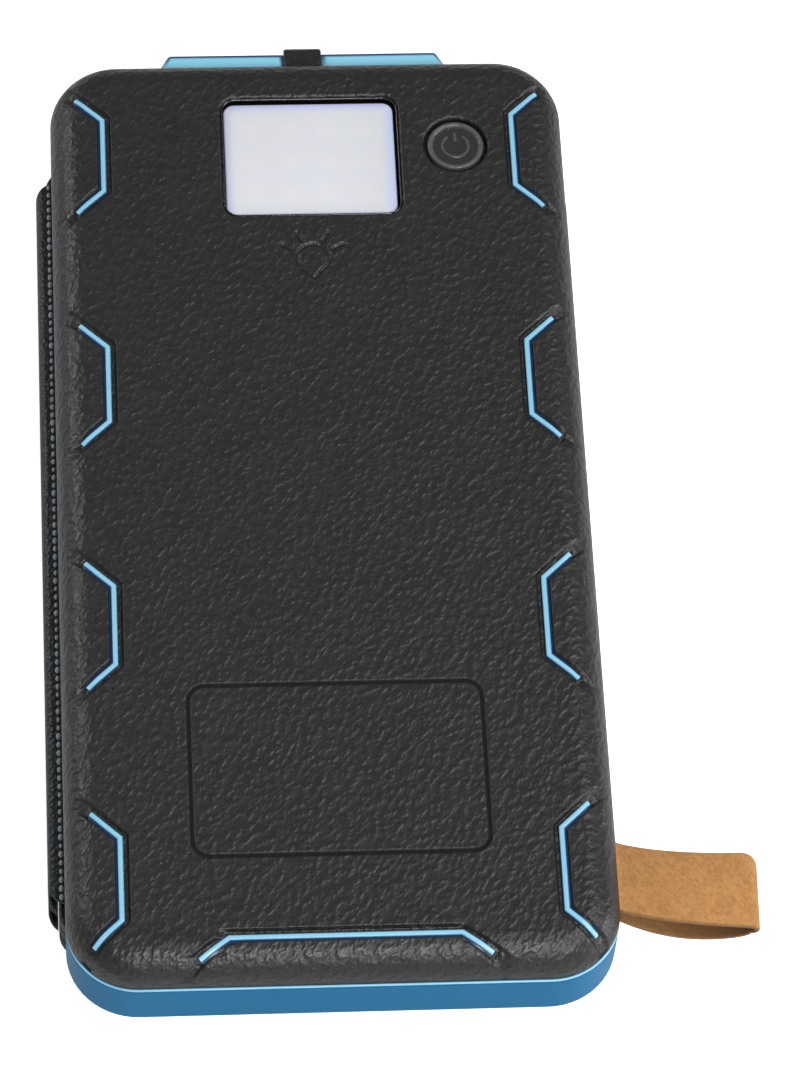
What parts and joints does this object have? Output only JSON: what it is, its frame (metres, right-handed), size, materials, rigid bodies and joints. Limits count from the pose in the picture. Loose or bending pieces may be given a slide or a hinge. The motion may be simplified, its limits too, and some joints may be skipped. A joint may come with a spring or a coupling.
{
  "type": "foldable solar power bank",
  "caption": "Pocket power bank with a lamp face, a hinged rubber port cover, a leather strap loop and folding leatherette solar leaves behind it.",
  "frame": {"origin": "under the middle of the case, on the outer face of the last leaf, which the folded bank lies on", "axes": "+Z out of the lamp face, +Y towards the port end"},
  "size_m": [0.1089, 0.1712, 0.026],
  "materials": {
    "grained_plastic": "leather-grain moulded ABS, satin",
    "blue_plastic": "moulded ABS, fine satin",
    "accent_plastic": "sky-blue brackets, satin",
    "blue_rubber": "soft moulded rubber",
    "button_plastic": "satin cap with a bright rim",
    "frosted_lens": "frosted polycarbonate, lit from behind",
    "white_plastic": "white reflector",
    "lamp_light": "lamp chips",
    "leatherette": "black grained leatherette",
    "tan_leather": "tan split leather",
    "solar_laminate": "encapsulated solar cells",
    "stiff_board": "stiff fibre board",
    "circuit_board": "solder-masked board",
    "steel": "zinc-plated steel",
    "nickel": "nickel plate",
    "contact_plastic": "contact tongues",
    "dark_component": "moulded component",
    "cell_foil": "pouch foil",
    "foam": "foam tape",
    "lead_jacket": "silicone jacket",
    "seal_rubber": "silicone seal"
  },
  "bodies": {
    "bank": {"front_shell": "grained_plastic", "rear_cover": "grained_plastic", "mid_frame": "blue_plastic", "accents_left": "accent_plastic", "accents_right": "accent_plastic", "accent_end": "accent_plastic", "port_cover_anchor": "blue_rubber", "lamp_lens": "frosted_lens", "lamp_reflector": "white_plastic", "lamp_leds": "lamp_light", "hinge_cloth_1": "leatherette", "rear_solar_laminate": "solar_laminate", "main_board": "circuit_board", "lamp_board": "circuit_board", "protection_board": "circuit_board", "case_screws": "steel", "strap_pin": "steel", "usb_a_socket": "nickel", "usb_c_socket": "nickel", "micro_usb_socket": "nickel", "cell_tabs": "nickel", "case_magnets": "nickel", "socket_tongues": "contact_plastic", "tact_switch": "contact_plastic", "board_chips": "dark_component", "board_capacitors": "dark_component", "power_inductor": "dark_component", "battery_cell_lower": "cell_foil", "battery_cell_upper": "cell_foil", "foam_pads": "foam", "battery_leads": "lead_jacket", "lamp_leads": "lead_jacket", "solar_leads": "lead_jacket", "case_seal": "seal_rubber"},
    "power_button": {"button_cap": "button_plastic"},
    "port_flap_left": {"port_flap_left": "blue_rubber"},
    "port_flap_right": {"port_flap_right": "blue_rubber"},
    "leaf_1": {"hinge_cloth_2": "leatherette", "leaf_1_back_skin": "leatherette", "leaf_1_front_skin": "leatherette", "leaf_1_solar_laminate": "solar_laminate", "leaf_1_board": "stiff_board", "leaf_1_magnets": "nickel"},
    "leaf_2": {"hinge_cloth_3": "leatherette", "leaf_2_back_skin": "leatherette", "leaf_2_front_skin": "leatherette", "leaf_2_solar_laminate": "solar_laminate", "leaf_2_board": "stiff_board", "leaf_2_magnets": "nickel"},
    "leaf_3": {"leaf_3_back_skin": "leatherette", "leaf_3_front_skin": "leatherette", "leaf_3_solar_laminate": "solar_laminate", "leaf_3_board": "stiff_board", "leaf_3_magnets": "nickel"},
    "strap": {"strap_loop": "tan_leather"}
  },
  "joints": [
    {"name": "power_button_press", "type": "slide", "parent": "bank", "child": "power_button", "axis": [0, 0, -1], "range_m": [0, 0.0005], "stiffness_N_per_m": 1500},
    {"name": "port_flap_left_swing", "type": "hinge", "parent": "bank", "child": "port_flap_left", "pos_m": [-0.00465, 0.0852, 0.01585], "axis": [0, 0, -1], "range_deg": [0, 90]},
    {"name": "port_flap_right_swing", "type": "hinge", "parent": "bank", "child": "port_flap_right", "pos_m": [0.00465, 0.0852, 0.01585], "axis": [0, 0, 1], "range_deg": [0, 90]},
    {"name": "leaf_1_fold", "type": "hinge", "parent": "bank", "child": "leaf_1", "pos_m": [-0.0448, 0.0023, 0.00847], "axis": [0, 1, 0], "range_deg": [0, 180], "deforming": ["hinge_cloth_1"]},
    {"name": "leaf_2_fold", "type": "hinge", "parent": "leaf_1", "child": "leaf_2", "pos_m": [0.044, 0.0023, 0.0058], "axis": [0, 1, 0], "range_deg": [-180, 0], "deforming": ["hinge_cloth_2"]},
    {"name": "leaf_3_fold", "type": "hinge", "parent": "leaf_2", "child": "leaf_3", "pos_m": [-0.0448, 0.0023, 0.0028], "axis": [0, 1, 0], "range_deg": [0, 180], "deforming": ["hinge_cloth_3"]},
    {"name": "strap_swing", "type": "hinge", "parent": "bank", "child": "strap", "pos_m": [0.0402, -0.0636, 0.0155], "axis": [0, 1, 0], "range_deg": [-25, 25]}
  ],
  "couplings": [
    {"joint": "leaf_2_fold", "follows": "leaf_1_fold", "ratio": -1},
    {"joint": "leaf_3_fold", "follows": "leaf_1_fold", "ratio": 1}
  ]
}
